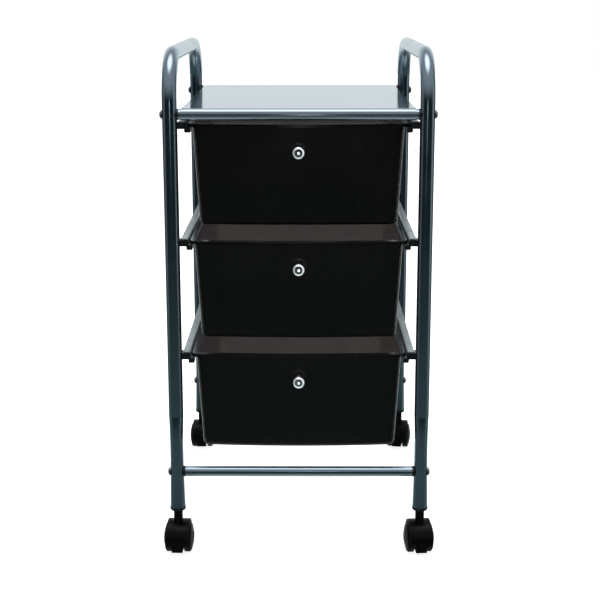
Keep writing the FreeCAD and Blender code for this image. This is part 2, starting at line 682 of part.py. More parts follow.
def makeDrawer(label, height):
    body = newBody(label, z="%s - Sizes.rimInset" % height)
    rimLine = bowedOutline(rimHalf, rimFrontY, "Sizes.rimBow", rimBackY)
    addPad(body, draw(newSketch(body, "XY_Plane"), rimLine), "Sizes.rimHeight", away=True)
    lipHalf, lipFront = "(%s - Sizes.rimThickness)" % rimHalf, "%s + Sizes.rimThickness" % rimFrontY
    underLine = bowedOutline(lipHalf, lipFront, "Sizes.rimBow", "%s - Sizes.rimThickness" % rimBackY)
    under = draw(newSketch(body, "XY_Plane", "-Sizes.rimHeight"), underLine)
    addPocket(body, under, "Sizes.rimHeight - Sizes.rimThickness", away=True)
    for radius, half in (("Sizes.rimCorner - Sizes.rimThickness", lipHalf), ("Sizes.rimCorner", rimHalf)):
        corner = number(half)
        roundEdges(body, radius, lambda edge: upright(edge) and near(abs(edge.CenterOfMass.x), corner))
    floorDepth = "%s - Sizes.tubFloor" % drawerHeight
    outside = [tubOutline(body, depth, "0") for depth in ("Sizes.rimThickness / 2", drawerHeight)]
    inside = [tubOutline(body, depth, "Sizes.tubWall") for depth in ("0", floorDepth)]
    addLoft(body, outside, ruled=True)
    addLoft(body, inside, "SubtractiveLoft", ruled=True)
    # The inner edges come first, because a sharp inner corner would break through a rounded outer one
    shallow = 2 * number("Sizes.rimHeight")
    for depth, wall in ((floorDepth, "Sizes.tubWall"), (drawerHeight, "0")):
        low = -number(depth)
        roundEdges(
            body,
            "Sizes.tubCorner - " + wall,
            lambda edge: upright(edge) and near(edge.BoundBox.ZMin, low) and edge.BoundBox.ZLength > shallow,
        )
        roundEdges(body, "Sizes.tubBase - " + wall, lambda edge: near(edge.BoundBox.ZMax, low))
    roundEdges(body, "Sizes.rimRound", lambda edge: near(edge.BoundBox.ZMin, 0))
    screw = newSketch(body, "XZ_Plane", "-" + tubFrontY)
    drawCircle(screw, "0", "-Sizes.knobDrop", "Sizes.screwDiameter / 2 + Sizes.boltClearance")
    addPocket(body, screw, "6 * Sizes.tubWall", "Symmetric")
    parts.append(body)


def knobPlace(height):
    # On the leaning front of a drawer; the body's own Z axis points forwards, square to that front
    return {
        "y": "%s + Sizes.knobDrop * %s" % (tubFrontY, tubSlope),
        "z": "%s - Sizes.rimInset - Sizes.knobDrop" % height,
        "turn": "90 deg + " + tubTilt,
        "axis": acrossAxis,
    }


def makeKnob(label, height):
    body = newBody(label, **knobPlace(height))
    rim, neck, base = ("(Sizes.%s / 2)" % size for size in ("knobDiameter", "knobNeck", "knobBase"))
    bore = "(Sizes.screwDiameter / 2 + Sizes.fitClearance)"
    seat = "Sizes.fitClearance"
    face = "%s - Sizes.knobRim" % rim
    back, front = ("Sizes.knobReach %s Sizes.knobRim" % way for way in "-+")
    profile = [
        (bore, seat),
        (base, seat),
        (base, "%s + 0.2 * %s" % (seat, base)),
        (neck, "%s + 0.4 * %s" % (seat, base)),
        (neck, back),
        (face, back, "Sizes.knobRim"),
        (rim, "Sizes.knobReach", "Sizes.knobRim"),
        (face, front),
        ("0", front),
        ("0", "Sizes.screwReach + 0.5 * " + bore),
        (bore, "Sizes.screwReach"),
    ]
    addTurned(body, draw(newSketch(body, "XZ_Plane"), profile))
    parts.append(body)


def makeKnobScrew(label, height):
    body = newBody(label, **knobPlace(height))
    seat = "-(Sizes.tubWall * cos(%s) + Sizes.fitClearance)" % tubTilt
    head, shank = "(Sizes.screwHeadDiameter / 2)", "(Sizes.screwDiameter / 2)"
    crown = "%s - Sizes.screwHeadHeight" % seat
    profile = [
        ("0", crown),
        ("0.5 * " + head, crown, "0.7 * " + head),
        (head, "%s - 0.3 * Sizes.screwHeadHeight" % seat),
        (head, seat),
        (shank, seat),
        (shank, "Sizes.screwReach - 0.3 * " + shank),
        ("0.7 * " + shank, "Sizes.screwReach"),
        ("0", "Sizes.screwReach"),
    ]
    addTurned(body, draw(newSketch(body, "XZ_Plane"), profile))
    parts.append(body)


for (levelName, level), height in zip(levels, runnerHeights):
    makeDrawer(levelName + "_drawer", height)
    makeKnob(levelName + "_drawer_knob", height)
    makeKnobScrew(levelName + "_drawer_knob_screw", height)


# Casters: a socket plugged into each leg, and a hooded pair of wheels that swivels on a steel stem.
# A caster's own frame has its origin on the floor below the stem and its X axis along the axle.

casters = [
    ("front_left", -1, frontLegY, "-Sizes.frontLeftYaw"),
    ("front_right", 1, frontLegY, "Sizes.frontRightYaw"),
    ("rear_left", -1, rearLegY, "0"),
    ("rear_right", 1, rearLegY, "-Sizes.rearRightYaw"),
]
stemBore = "(Sizes.stemDiameter / 2 + Sizes.runningClearance)"
socketTop = "(%s + Sizes.socketDepth)" % tubeEnd
boreTop = "(%s - Sizes.socketCap)" % socketTop
stemTop = "(%s - Sizes.stemHeadroom)" % boreTop
treadStart = "(Sizes.hoodCore / 2 + Sizes.treadGap)"
treadEnd = "(%s + Sizes.treadWidth)" % treadStart
wheelReach = "(%s + Sizes.domeRise)" % treadEnd
boreEnd = "(%s - Sizes.domeWall)" % wheelReach


def makeSocket(label, side, legY):
    body = newBody(label, x="%d * %s" % (side, legX), y=legY)
    rim, plug = "Sizes.socketDiameter / 2", "Sizes.socketPlug / 2"
    flange = "%s + Sizes.socketCone" % socketBottom
    chamfer = "0.1 * Sizes.socketPlug"
    profile = [
        (stemBore, socketBottom),
        ("Sizes.neckDiameter / 2", socketBottom, "1.6 * Sizes.socketCone"),
        (rim, flange),
        (rim, tubeEnd),
        (plug, tubeEnd),
        (plug, "%s - %s" % (socketTop, chamfer)),
        ("%s - %s" % (plug, chamfer), socketTop),
        ("0", socketTop),
        ("0", boreTop),
        (stemBore, boreTop),
    ]
    addTurned(body, draw(newSketch(body, "XZ_Plane"), profile))
    parts.append(body)


def casterBody(label, side, legY, yaw, axleward="0", z="0"):
    # axleward is the distance from the swivel axis towards the axle
    return newBody(
        label,
        x="%d * %s - (%s) * sin(%s)" % (side, legX, axleward, yaw),
        y="%s + (%s) * cos(%s)" % (legY, axleward, yaw),
        z=z,
        turn=yaw,
    )


def makeStem(label, *caster):
    body = casterBody(label, *caster)
    stem = "(Sizes.stemDiameter / 2)"
    foot = "%s - Sizes.stemSeat" % neckTop
    groove = "0.2 * " + stem
    profile = [
        ("0", foot),
        (stem, foot),
        (stem, "%s - 6 * %s" % (stemTop, groove)),
        ("%s - %s" % (stem, groove), "%s - 5 * %s" % (stemTop, groove)),
        ("%s - %s" % (stem, groove), "%s - 4 * %s" % (stemTop, groove)),
        (stem, "%s - 3 * %s" % (stemTop, groove)),
        (stem, "%s - %s" % (stemTop, groove)),
        ("%s - %s" % (stem, groove), stemTop),
        ("0", stemTop),
    ]
    addTurned(body, draw(newSketch(body, "XZ_Plane"), profile))
    parts.append(body)


def onHood(radius, angle):
    # A point round the axle, seen from the side; 0 degrees is to the rear and 90 straight up
    return ("Sizes.trail + %s * cos(%s)" % (radius, angle), "%s + %s * sin(%s)" % (axleHeight, radius, angle))


def makeHood(label, *caster):
    body = casterBody(label, *caster)
    cover = [
        ("Sizes.trail", axleHeight),
        onHood(hoodRadius, "Sizes.hoodRear") + (hoodRadius,),
        onHood(hoodRadius, "90") + (hoodRadius,),
        onHood(hoodRadius, "180"),
    ]
    addPad(body, draw(newSketch(body, "YZ_Plane"), cover), "Sizes.hoodWidth", "Symmetric")
    rounded = number(hoodRadius)
    roundEdges(
        body,
        "Sizes.hoodRound",
        lambda edge: edge.Curve.TypeId == "Part::GeomCircle" and near(edge.Curve.Radius, rounded),
    )
    wells = newSketch(body, "YZ_Plane")
    drawCircle(wells, "Sizes.trail", axleHeight, "%s - Sizes.hoodShell" % hoodRadius)
    addPocket(body, wells, "2 * Sizes.hoodWidth", "Symmetric")
    middle = "(%s - Sizes.hoodShell / 2)" % hoodRadius
    core = [
        ("Sizes.trail - " + hoodRadius, axleHeight),
        ("Sizes.trail - " + hoodRadius, "Sizes.skirtHeight"),
        ("Sizes.trail", "Sizes.skirtHeight", "Sizes.heelRound"),
        ("Sizes.trail + Sizes.hoodHeel", axleHeight),
        onHood(middle, "55") + (middle,),
        onHood(middle, "120") + (middle,),
        onHood(middle, "180"),
    ]
    addPad(body, draw(newSketch(body, "YZ_Plane"), core), "Sizes.hoodCore", "Symmetric")
    neck = drawCircle(newSketch(body, "XY_Plane", neckTop), "0", "0", "Sizes.neckDiameter / 2")
    addPad(body, neck, "Sizes.neckHeight + Sizes.hoodClearance", away=True)
    crest = number(neckTop)
    roundEdges(body, "Sizes.neckRound", lambda edge: near(edge.BoundBox.ZMin, crest))
    seat = "Sizes.stemDiameter / 2 + Sizes.fitClearance / 5"
    bore = drawCircle(newSketch(body, "XY_Plane", neckTop), "0", "0", seat)
    addPocket(body, bore, "Sizes.stemSeat")
    fit = "Sizes.axleDiameter / 2 + Sizes.fitClearance / 5"
    hole = drawCircle(newSketch(body, "YZ_Plane"), "Sizes.trail", axleHeight, fit)
    addPocket(body, hole, "2 * Sizes.hoodCore", "Symmetric")
    parts.append(body)


def makeAxle(label, *caster):
    body = casterBody(label, *caster, axleward="Sizes.trail", z=axleHeight)
    ring = drawCircle(newSketch(body, "YZ_Plane"), "0", "0", "Sizes.axleDiameter / 2")
    addPad(body, ring, "2 * (%s - Sizes.axleEndGap)" % boreEnd, "Symmetric")
    parts.append(body)


def makeWheel(label, side, *caster):
    # A hub and tread with a dished inner face and a domed outer one
    body = casterBody(label, *caster, axleward="Sizes.trail", z=axleHeight)
    bore = "(Sizes.axleDiameter / 2 + Sizes.runningClearance)"
    hub = "Sizes.hoodCore / 2 + Sizes.hubGap"
    dish = "%s + Sizes.hubRecess" % treadStart
    bevel = "(0.03 * %s)" % axleHeight
    domeRadius = "(%s - 3 * %s)" % (axleHeight, bevel)
    domeStart = "%s + 1.5 * %s" % (treadEnd, bevel)
    rise = "(Sizes.domeRise - 1.5 * %s)" % bevel
    bulge = "(%s * %s + %s * %s) / (2 * %s)" % (domeRadius, domeRadius, rise, rise, rise)
    profile = [
        (hub, bore),
        (boreEnd, bore),
        (boreEnd, "0"),
        (wheelReach, "0", bulge),
        (domeStart, domeRadius),
        (treadEnd, "%s - 1.5 * %s" % (axleHeight, bevel)),
        ("%s - 1.5 * %s" % (treadEnd, bevel), axleHeight),
        ("%s + %s" % (treadStart, bevel), axleHeight),
        (treadStart, "%s - %s" % (axleHeight, bevel)),
        (treadStart, "%s - 5 * %s" % (axleHeight, bevel)),
        (dish, "%s - 6 * %s" % (axleHeight, bevel)),
        (dish, "2.4 * " + bore),
        (hub, "2.2 * " + bore),
    ]
    sketch = draw(newSketch(body, "XZ_Plane"), handed(profile, side))
    addTurned(body, sketch, "H_Axis")
    parts.append(body)


for name, side, legY, yaw in casters:
    caster = (side, legY, yaw)
    makeSocket(name + "_caster_socket", side, legY)
    makeStem(name + "_caster_stem", *caster)
    makeHood(name + "_caster_hood", *caster)
    makeAxle(name + "_caster_axle", *caster)
    for wheelName, wheelSide in sides:
        makeWheel("%s_caster_%s_wheel" % (name, wheelName), wheelSide, *caster)


document.recompute()
failed = [item.Label for item in document.Objects if {"Invalid", "Error"} & set(item.State)]
if failed:
    raise RuntimeError("not built: " + ", ".join(failed))
for part in parts:
    if part.Shape.isNull() or not part.Shape.isValid():
        raise RuntimeError("bad shape: " + part.Label)

os.makedirs("parts", exist_ok=True)
for part in parts:
    part.Shape.exportStep("parts/%s.step" % part.Label)
print(len(parts), "parts written")
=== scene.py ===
import json
import math
import bmesh
import bpy
from mathutils import Matrix, Vector

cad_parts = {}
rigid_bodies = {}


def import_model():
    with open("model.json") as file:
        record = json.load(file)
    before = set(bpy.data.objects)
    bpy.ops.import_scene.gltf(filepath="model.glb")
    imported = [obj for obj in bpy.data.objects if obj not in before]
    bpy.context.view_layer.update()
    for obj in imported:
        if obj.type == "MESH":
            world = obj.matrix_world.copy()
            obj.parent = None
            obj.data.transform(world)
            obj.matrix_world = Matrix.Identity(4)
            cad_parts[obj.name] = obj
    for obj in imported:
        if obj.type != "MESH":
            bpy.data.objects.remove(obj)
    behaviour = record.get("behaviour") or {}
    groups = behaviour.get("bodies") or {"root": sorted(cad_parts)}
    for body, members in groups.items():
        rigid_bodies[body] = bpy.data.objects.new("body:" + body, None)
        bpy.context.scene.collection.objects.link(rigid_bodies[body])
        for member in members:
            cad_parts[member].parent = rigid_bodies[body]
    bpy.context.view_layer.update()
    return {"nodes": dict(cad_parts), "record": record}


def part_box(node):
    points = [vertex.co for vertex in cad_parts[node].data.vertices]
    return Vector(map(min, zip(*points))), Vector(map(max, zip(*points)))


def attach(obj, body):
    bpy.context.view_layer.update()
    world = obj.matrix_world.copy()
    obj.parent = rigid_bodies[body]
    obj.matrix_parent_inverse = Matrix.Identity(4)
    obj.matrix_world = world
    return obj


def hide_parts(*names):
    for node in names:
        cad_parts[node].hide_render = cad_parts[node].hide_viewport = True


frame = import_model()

scene = bpy.context.scene
levels = {"bottom": 0.2705, "middle": 0.4155, "top": 0.5605}  # height of each drawer's runners
casters = ("front_left_caster", "front_right_caster", "rear_left_caster", "rear_right_caster")
wheelSides = {"left_wheel": -1, "right_wheel": 1}  # the way each wheel faces along its axle
print("cart frame loaded with", len(frame["nodes"]), "pieces")


# Shared surface effects, as node groups that the materials place with their own values

def startGroup(name, inputs, outputs):
    group = bpy.data.node_groups.new(name, "ShaderNodeTree")
    for label, kind, value in inputs:
        socket = group.interface.new_socket(label, in_out="INPUT", socket_type="NodeSocket" + kind)
        if value is not None:
            socket.default_value = value
    for label, kind in outputs:
        group.interface.new_socket(label, in_out="OUTPUT", socket_type="NodeSocket" + kind)
    entry = group.nodes.new("NodeGroupInput")
    leave = group.nodes.new("NodeGroupOutput")
    return group, entry, leave


def feed(tree, socket, value):
    # A socket takes a link from another node's output, or a plain value
    if isinstance(value, bpy.types.NodeSocket):
        tree.links.new(value, socket)
    else:
        socket.default_value = value


def addNode(tree, kind, inputs=None, **settings):
    node = tree.nodes.new("ShaderNode" + kind)
    for name, value in settings.items():
        setattr(node, name, value)
    for name, value in (inputs or {}).items():
        feed(tree, node.inputs[name], value)
    return node


def mixColours(tree, factor, first, second):
    node = addNode(tree, "Mix", {"Factor": factor}, data_type="RGBA")
    feed(tree, node.inputs[6], first)  # sockets 6, 7 and 2 are the node's colour ones
    feed(tree, node.inputs[7], second)
    return node.outputs[2]


def addNoise(tree, position, size, **settings):
    noise = addNode(tree, "TexNoise", {"Vector": position, "Scale": size})
    for name, value in settings.items():
        noise.inputs[name.capitalize()].default_value = value
    return noise.outputs["Fac"]


skinLooks = {"edgeSamples": 4, "waveDetail": 1.0, "grainDetail": 2.0}


def makeSkinGroup():
    # Soft edges and a fine uneven surface, as a normal
    inputs = [
        ("Position", "Vector", None),
        ("Edge Radius", "Float", 0.0004),
        ("Grain Size", "Float", 900.0),
        ("Grain Depth", "Float", 0.00002),
        ("Wave Size", "Float", 30.0),
        ("Wave Depth", "Float", 0.0001),
    ]
    group, entry, leave = startGroup("surfaceSkin", inputs, [("Normal", "Vector")])
    given = entry.outputs
    samples = skinLooks["edgeSamples"]
    rounded = addNode(group, "Bevel", {"Radius": given["Edge Radius"]}, samples=samples)
    normal = rounded.outputs["Normal"]
    for kind in ("Wave", "Grain"):
        detail = skinLooks[kind.lower() + "Detail"]
        height = addNoise(group, given["Position"], given[kind + " Size"], detail=detail)
        bump = {"Height": height, "Distance": given[kind + " Depth"], "Normal": normal}
        normal = addNode(group, "Bump", bump).outputs["Normal"]
    group.links.new(normal, leave.inputs["Normal"])
    return group


smudgeLooks = {"detail": 5.0, "roughness": 0.62, "spread": (0.42, 0.68)}


def makeSmudgeGroup():
    # Handling marks: a value that drifts between two limits in soft patches with finer streaks
    inputs = [
        ("Position", "Vector", None),
        ("Patch Size", "Float", 14.0),
        ("Clean", "Float", 0.2),
        ("Smudged", "Float", 0.35),
    ]
    group, entry, leave = startGroup("handlingSmudge", inputs, [("Value", "Float")])
    patches = addNoise(
        group, entry.outputs["Position"], entry.outputs["Patch Size"],
        detail=smudgeLooks["detail"], roughness=smudgeLooks["roughness"],
    )
    spread = addNode(group, "MapRange", {
        "Value": patches,
        "From Min": smudgeLooks["spread"][0],
        "From Max": smudgeLooks["spread"][1],
        "To Min": entry.outputs["Clean"],
        "To Max": entry.outputs["Smudged"],
    }, interpolation_type="SMOOTHSTEP")
    group.links.new(spread.outputs["Result"], leave.inputs["Value"])
    return group


def makeSpeckleGroup():
    # Two close colours scattered in small cells, such as the flakes of a metallic paint
    inputs = [
        ("Position", "Vector", None),
        ("Cell Size", "Float", 1500.0),
        ("Dark Colour", "Color", (0.4, 0.5, 0.56, 1.0)),
        ("Light Colour", "Color", (0.5, 0.6, 0.66, 1.0)),
        ("Cloud Size", "Float", 6.0),
    ]
    group, entry, leave = startGroup("colourSpeckle", inputs, [("Colour", "Color")])
    given = entry.outputs
    cells = addNode(group, "TexVoronoi", {"Vector": given["Position"], "Scale": given["Cell Size"]})
    cloud = addNoise(group, given["Position"], given["Cloud Size"])
    level = addNode(group, "SeparateColor", {"Color": cells.outputs["Color"]}).outputs[0]
    blend = addNode(group, "Math", {0: level, 1: cloud}, operation="MULTIPLY").outputs[0]
    result = mixColours(group, blend, given["Dark Colour"], given["Light Colour"])
    group.links.new(result, leave.inputs["Colour"])
    return group


dustLooks = {
    "colour": (0.42, 0.41, 0.39, 1.0),
    "amounts": {"casterPlastic": 0.025, "blackPlastic": 0.02},  # the materials that show dust
    "upward": (0.2, 1.0),
    "patches": (0.4, 0.75),
    "detail": 6.0,
}


def makeDustGroup():
    # Pale dust that gathers on faces that look up
    inputs = [
        ("Position", "Vector", None),
        ("Amount", "Float", 0.2),
        ("Patch Size", "Float", 60.0),
    ]
    group, entry, leave = startGroup("settledDust", inputs, [("Mask", "Float")])
    given = entry.outputs
    surface = addNode(group, "NewGeometry")
    facing = addNode(group, "SeparateXYZ", {0: surface.outputs["Normal"]})
    patches = addNoise(group, given["Position"], given["Patch Size"], detail=dustLooks["detail"])
    mask = given["Amount"]
    for value, limits in ((facing.outputs["Z"], "upward"), (patches, "patches")):
        low, high = dustLooks[limits]
        share = addNode(group, "MapRange", {"Value": value, "From Min": low, "From Max": high})
        factors = {0: share.outputs["Result"], 1: mask}
        mask = addNode(group, "Math", factors, operation="MULTIPLY").outputs[0]
    group.links.new(mask, leave.inputs["Mask"])
    return group


skinGroup = makeSkinGroup()
smudgeGroup = makeSmudgeGroup()
speckleGroup = makeSpeckleGroup()
dustGroup = makeDustGroup()


# Materials

materialLooks = {
    "framePaint": {
        "dark": (0.38, 0.48, 0.55), "light": (0.47, 0.57, 0.64), "cells": 2200, "clouds": 7,
        "metallic": 1.0, "clean": 0.17, "smudged": 0.22, "patches": 18,
        "edge": 0.0003, "grain": 900, "grainDepth": 0.000003, "wave": 40, "waveDepth": 0.00003,
        "shader": {"Coat Weight": 0.2, "Coat Roughness": 0.07, "Coat IOR": 1.5},
    },
    "trayPaint": {
        "dark": (0.42, 0.50, 0.56), "light": (0.47, 0.55, 0.61), "cells": 2200, "clouds": 5,
        "metallic": 0.96, "clean": 0.1, "smudged": 0.14, "patches": 7,
        "edge": 0.0003, "grain": 900, "grainDepth": 0.000003, "wave": 9, "waveDepth": 0.00004,
        "shader": {"Coat Weight": 0.05, "Coat Roughness": 0.08, "Coat IOR": 1.5},
    },
    "runnerSteel": {
        "dark": (0.50, 0.55, 0.56), "light": (0.66, 0.70, 0.71), "cells": 260, "clouds": 20,
        "metallic": 0.85, "clean": 0.3, "smudged": 0.46, "patches": 40,
        "edge": 0.0003, "grain": 500, "grainDepth": 0.00002, "wave": 40, "waveDepth": 0.00008,
        "shader": {},
    },
    "fastenerSteel": {
        "dark": (0.32, 0.34, 0.36), "light": (0.44, 0.46, 0.48), "cells": 420, "clouds": 60,
        "metallic": 1.0, "clean": 0.22, "smudged": 0.36, "patches": 160,
        "edge": 0.0002, "grain": 900, "grainDepth": 0.00001, "wave": 120, "waveDepth": 0.00003,
        "shader": {},
    },
    "knobChrome": {
        "dark": (0.80, 0.81, 0.82), "light": (0.88, 0.89, 0.90), "cells": 300, "clouds": 80,
        "metallic": 1.0, "clean": 0.04, "smudged": 0.11, "patches": 240,
        "edge": 0.0002, "grain": 900, "grainDepth": 0.000002, "wave": 120, "waveDepth": 0.00001,
        "shader": {},
    },
    "drawerPlastic": {
        "dark": (0.026, 0.0225, 0.022), "light": (0.032, 0.028, 0.027), "cells": 30, "clouds": 4,
        "metallic": 0.0, "clean": 0.13, "smudged": 0.22, "patches": 8,
        "edge": 0.0004, "grain": 500, "grainDepth": 0.000006, "wave": 11, "waveDepth": 0.00025,
        "shader": {"IOR": 1.46, "Specular IOR Level": 0.3, "Transmission Weight": 0.975},
    },
    "casterPlastic": {
        "dark": (0.0018, 0.0018, 0.002), "light": (0.0035, 0.0035, 0.004),
        "cells": 120, "clouds": 30,
        "metallic": 0.0, "clean": 0.34, "smudged": 0.46, "patches": 70,
        "edge": 0.0004, "grain": 1300, "grainDepth": 0.00002, "wave": 60, "waveDepth": 0.0001,
        "shader": {"IOR": 1.5, "Specular IOR Level": 0.14},
    },
    "blackPlastic": {
        "dark": (0.004, 0.0042, 0.005), "light": (0.008, 0.008, 0.009), "cells": 150, "clouds": 40,
        "metallic": 0.0, "clean": 0.26, "smudged": 0.4, "patches": 90,
        "edge": 0.0003, "grain": 1500, "grainDepth": 0.000015, "wave": 90, "waveDepth": 0.00006,
        "shader": {"IOR": 1.5, "Specular IOR Level": 0.5},
    },
}


def placeGroup(tree, group, values):
    node = tree.nodes.new("ShaderNodeGroup")
    node.node_tree = group
    for name, value in values.items():
        feed(tree, node.inputs[name], value)
    return node


def makeMaterial(name):
    look = materialLooks[name]
    material = bpy.data.materials.new(name)
    material.use_nodes = True
    tree = material.node_tree
    shader = tree.nodes["Principled BSDF"]
    position = addNode(tree, "TexCoord").outputs["Object"]
    colour = placeGroup(tree, speckleGroup, {
        "Position": position,
        "Cell Size": look["cells"],
        "Cloud Size": look["clouds"],
        "Dark Colour": look["dark"] + (1.0,),
        "Light Colour": look["light"] + (1.0,),
    }).outputs["Colour"]
    if name in dustLooks["amounts"]:
        amount = dustLooks["amounts"][name]
        dust = placeGroup(tree, dustGroup, {"Position": position, "Amount": amount})
        colour = mixColours(tree, dust.outputs["Mask"], colour, dustLooks["colour"])
    gloss = placeGroup(tree, smudgeGroup, {
        "Position": position,
        "Patch Size": look["patches"],
        "Clean": look["clean"],
        "Smudged": look["smudged"],
    })
    skin = placeGroup(tree, skinGroup, {
        "Position": position,
        "Edge Radius": look["edge"],
        "Grain Size": look["grain"],
        "Grain Depth": look["grainDepth"],
        "Wave Size": look["wave"],
        "Wave Depth": look["waveDepth"],
    })
    tree.links.new(colour, shader.inputs["Base Color"])
    tree.links.new(gloss.outputs["Value"], shader.inputs["Roughness"])
    tree.links.new(skin.outputs["Normal"], shader.inputs["Normal"])
    shader.inputs["Metallic"].default_value = look["metallic"]
    for socket, value in look["shader"].items():
        shader.inputs[socket].default_value = value
    return material


materials = {name: makeMaterial(name) for name in materialLooks}
slotMaterials = {
    "frame_paint": "framePaint",
    "tray_paint": "trayPaint",
    "runner_steel": "runnerSteel",
    "fastener_steel": "fastenerSteel",
    "knob_chrome": "knobChrome",
    "drawer_plastic": "drawerPlastic",
    "caster_plastic": "casterPlastic",
    "black_plastic": "blackPlastic",
}
print("materials made:", len(materials))


# Every piece of the frame takes the finish of its slot

behaviour = frame["record"]["behaviour"]
nodeSlots = {entry["node"]: entry["material_slot"] for entry in frame["record"]["subparts"]}
nodeBodies = {node: body for body, members in behaviour["bodies"].items() for node in members}


def dressNode(name):
    node = frame["nodes"][name]
    node.data.materials.clear()
    node.data.materials.append(materials[slotMaterials[nodeSlots[name]]])


for name in frame["nodes"]:
    dressNode(name)


# How a mesh becomes a piece of the cart

pieceLooks = {
    "sharpAngle": 32,       # degrees past which an edge stays sharp
    "copyWeld": 0.00001,    # a node's loose triangles are joined within this
    "turnWeld": 0.000005,   # and a turned shape's seam and pole within this
    "onRing": 0.00002,
}


def shadeSmooth(work):
    for face in work.faces:
        face.smooth = True
    sharpAngle = math.radians(pieceLooks["sharpAngle"])
    for edge in work.edges:
        edge.smooth = len(edge.link_faces) == 2 and edge.calc_face_angle(0) < sharpAngle


def addPiece(work, name, body, slot, replaced=None):
    # The mesh is smooth with its sharp edges kept; the piece rides on its body, in its slot
    shadeSmooth(work)
    mesh = bpy.data.meshes.new(name)
    work.to_mesh(mesh)
    work.free()
    piece = bpy.data.objects.new(name, mesh)
    scene.collection.objects.link(piece)
    mesh.materials.append(materials[slotMaterials[slot]])
    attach(piece, body)
    if replaced:
        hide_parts(replaced)
    return piece


def smoothCopy(name):
    # A copy of a node with welded corners and smooth curves, which stands for the faceted original
    work = bmesh.new()
    work.from_mesh(frame["nodes"][name].data)
    bmesh.ops.remove_doubles(work, verts=work.verts, dist=pieceLooks["copyWeld"])
    piece = addPiece(work, name + "_finished", nodeBodies[name], nodeSlots[name], name)
    weighted = piece.modifiers.new("evenShading", "WEIGHTED_NORMAL")
    weighted.keep_sharp = True
    return piece


def spinRound(work, verts, edges, steps):
    bmesh.ops.spin(
        work, geom=verts + edges, cent=(0, 0, 0), axis=(0, 0, 1),
        angle=math.tau, steps=steps, use_merge=True,
    )


def closeTurned(work):
    bmesh.ops.remove_doubles(work, verts=work.verts, dist=pieceLooks["turnWeld"])
    bmesh.ops.recalc_face_normals(work, faces=work.faces)


def turnProfile(work, points, steps):
    # A profile of (radius, height) points, turned about the Z axis
    verts = [work.verts.new((radius, 0, height)) for radius, height in points]
    edges = [work.edges.new(pair) for pair in zip(verts, verts[1:])]
    spinRound(work, verts, edges, steps)
    closeTurned(work)


def roundRings(work, rings, offset, segments):
    # Rounds the edges of a turned shape that lie on these (radius, height) circles
    def onRing(vert, ring):
        radius, height = ring
        near = pieceLooks["onRing"]
        return abs(vert.co.xy.length - radius) < near and abs(vert.co.z - height) < near

    edges = [
        edge for ring in rings for edge in work.edges
        if all(onRing(vert, ring) for vert in edge.verts)
    ]
    bmesh.ops.bevel(
        work, geom=edges, offset=offset, segments=segments,
        affect="EDGES", profile=0.5, material=-1,
    )


# Knobs: polished, with a rolled rim and a slightly domed face, on a flanged neck. The points
# are (radius, height) from the drawer's leaning front, which the knob stands square to

knobLooks = {
    "front": -0.18559,  # the drawer's front at the knob
    "drop": 0.0367,     # from the runners' height down to the knob
    "lean": 3.245,      # degrees
    "flange": [(0.0, 0.00005), (0.0047, 0.00005), (0.0047, 0.0012), (0.0031, 0.0018)],
    "flangeRound": 0.0003,
    "flangeSteps": 3,
    "back": [(0.0031, 0.0078), (0.008, 0.0078)],
    "crown": [
        (0.008, 0.01533), (0.0042, 0.01537), (0.003, 0.01547), (0.0015, 0.015545), (0.0, 0.01557),
    ],
    "rimRound": 0.0037,
    "rimSteps": 12,
    "facets": 64,
}


def makeKnob(level):
    looks = knobLooks
    flange, back, crown = looks["flange"], looks["back"], looks["crown"]
    work = bmesh.new()
    turnProfile(work, flange + back + crown, looks["facets"])
    roundRings(work, (back[1], crown[0]), looks["rimRound"], looks["rimSteps"])
    roundRings(work, (flange[2], flange[1]), looks["flangeRound"], looks["flangeSteps"])
    turn = Matrix.Rotation(math.radians(90 + looks["lean"]), 4, "X")
    seat = Matrix.Translation((0, looks["front"], levels[level] - looks["drop"]))
    bmesh.ops.transform(work, matrix=seat @ turn, verts=work.verts)
    node = level + "_drawer_knob"
    addPiece(work, node + "_polished", level + "_drawer", "knob_chrome", node)


# Frame bolts and knob screws: a cross recess cut into each head

crossLooks = {
    "boltRows": (-0.188, 0.184),      # front and rear legs
    "boltHeights": (0.111, 0.56875),  # lower and upper cross bars
    "boltSlot": (0.0062, 0.0011),     # length and width of one bar of the cross
    "boltDepth": 0.0013,
    "screwSlot": (0.0048, 0.0009),
    "screwDepth": 0.0011,
}


def cutCross(piece, places, slot, depth):
    # Takes the two bars of a cross out of every head. Each place is the middle of a head's face
    # and the axis of its bolt, and the cutter stands half outside it
    for upright, across in (slot, slot[::-1]):
        work = bmesh.new()
        for middle, axis in places:
            size = (2 * depth, across, upright) if axis == "X" else (across, 2 * depth, upright)
            shape = Matrix.Translation(middle) @ Matrix.Diagonal((*size, 1))
            bmesh.ops.create_cube(work, size=1, matrix=shape)
        mesh = bpy.data.meshes.new("cross_cutter")
        work.to_mesh(mesh)
        work.free()
        cutter = bpy.data.objects.new("cross_cutter", mesh)
        scene.collection.objects.link(cutter)
        cut = piece.modifiers.new("crossRecess", "BOOLEAN")
        cut.operation = "DIFFERENCE"
        cut.solver = "EXACT"
        cut.object = cutter
        bpy.context.view_layer.update()
        evaluated = piece.evaluated_get(bpy.context.evaluated_depsgraph_get())
        carved = bpy.data.meshes.new_from_object(evaluated)
        piece.modifiers.remove(cut)
        piece.data = carved
        bpy.data.objects.remove(cutter)


def crossBolts(piece):
    low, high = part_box("frame_bolts")
    rows, heights = crossLooks["boltRows"], crossLooks["boltHeights"]
    places = [((x, y, z), "X") for y in rows for z in heights for x in (low[0], high[0])]
    cutCross(piece, places, crossLooks["boltSlot"], crossLooks["boltDepth"])


